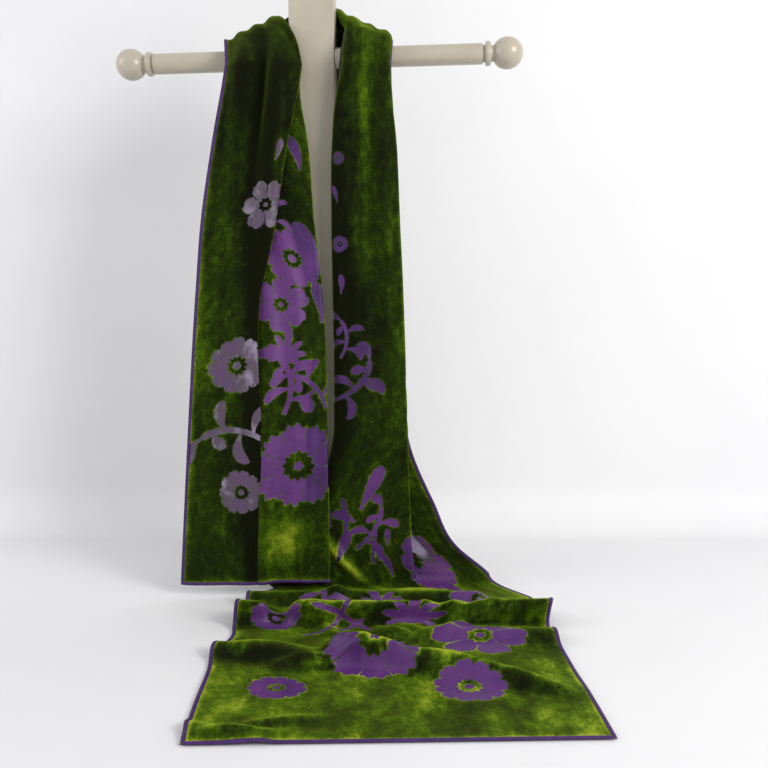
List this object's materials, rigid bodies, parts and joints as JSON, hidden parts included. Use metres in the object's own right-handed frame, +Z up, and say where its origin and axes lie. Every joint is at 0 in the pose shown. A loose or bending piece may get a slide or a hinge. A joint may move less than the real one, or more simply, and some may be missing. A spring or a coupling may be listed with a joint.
{
  "type": "velvet scarf on a wooden stand",
  "caption": "Long velvet scarf with burnt-out flowers and a narrow hem, hung over a small turned wooden stand, one end spread on the surface in folds",
  "frame": {"origin": "on the surface that the stand and the scarf rest on, below the middle of the whole object's box", "axes": "+Z up, +X along the arms to the right as seen from the front, -Y towards the viewer and the scarf's front end"},
  "size_m": [0.4011, 0.4902, 0.6],
  "materials": {
    "velvet": "silk velvet pile, burnt out to a violet ground",
    "stand_paint": "cream satin paint on turned wood"
  },
  "bodies": {
    "root": {"scarf_hanging_end": "velvet", "scarf_neck": "velvet", "scarf_long_fall": "velvet", "scarf_floor_folds": "velvet", "scarf_front_end": "velvet", "stand_base": "stand_paint", "stand_post": "stand_paint", "stand_left_arm": "stand_paint", "stand_right_arm": "stand_paint"}
  },
  "joints": []
}
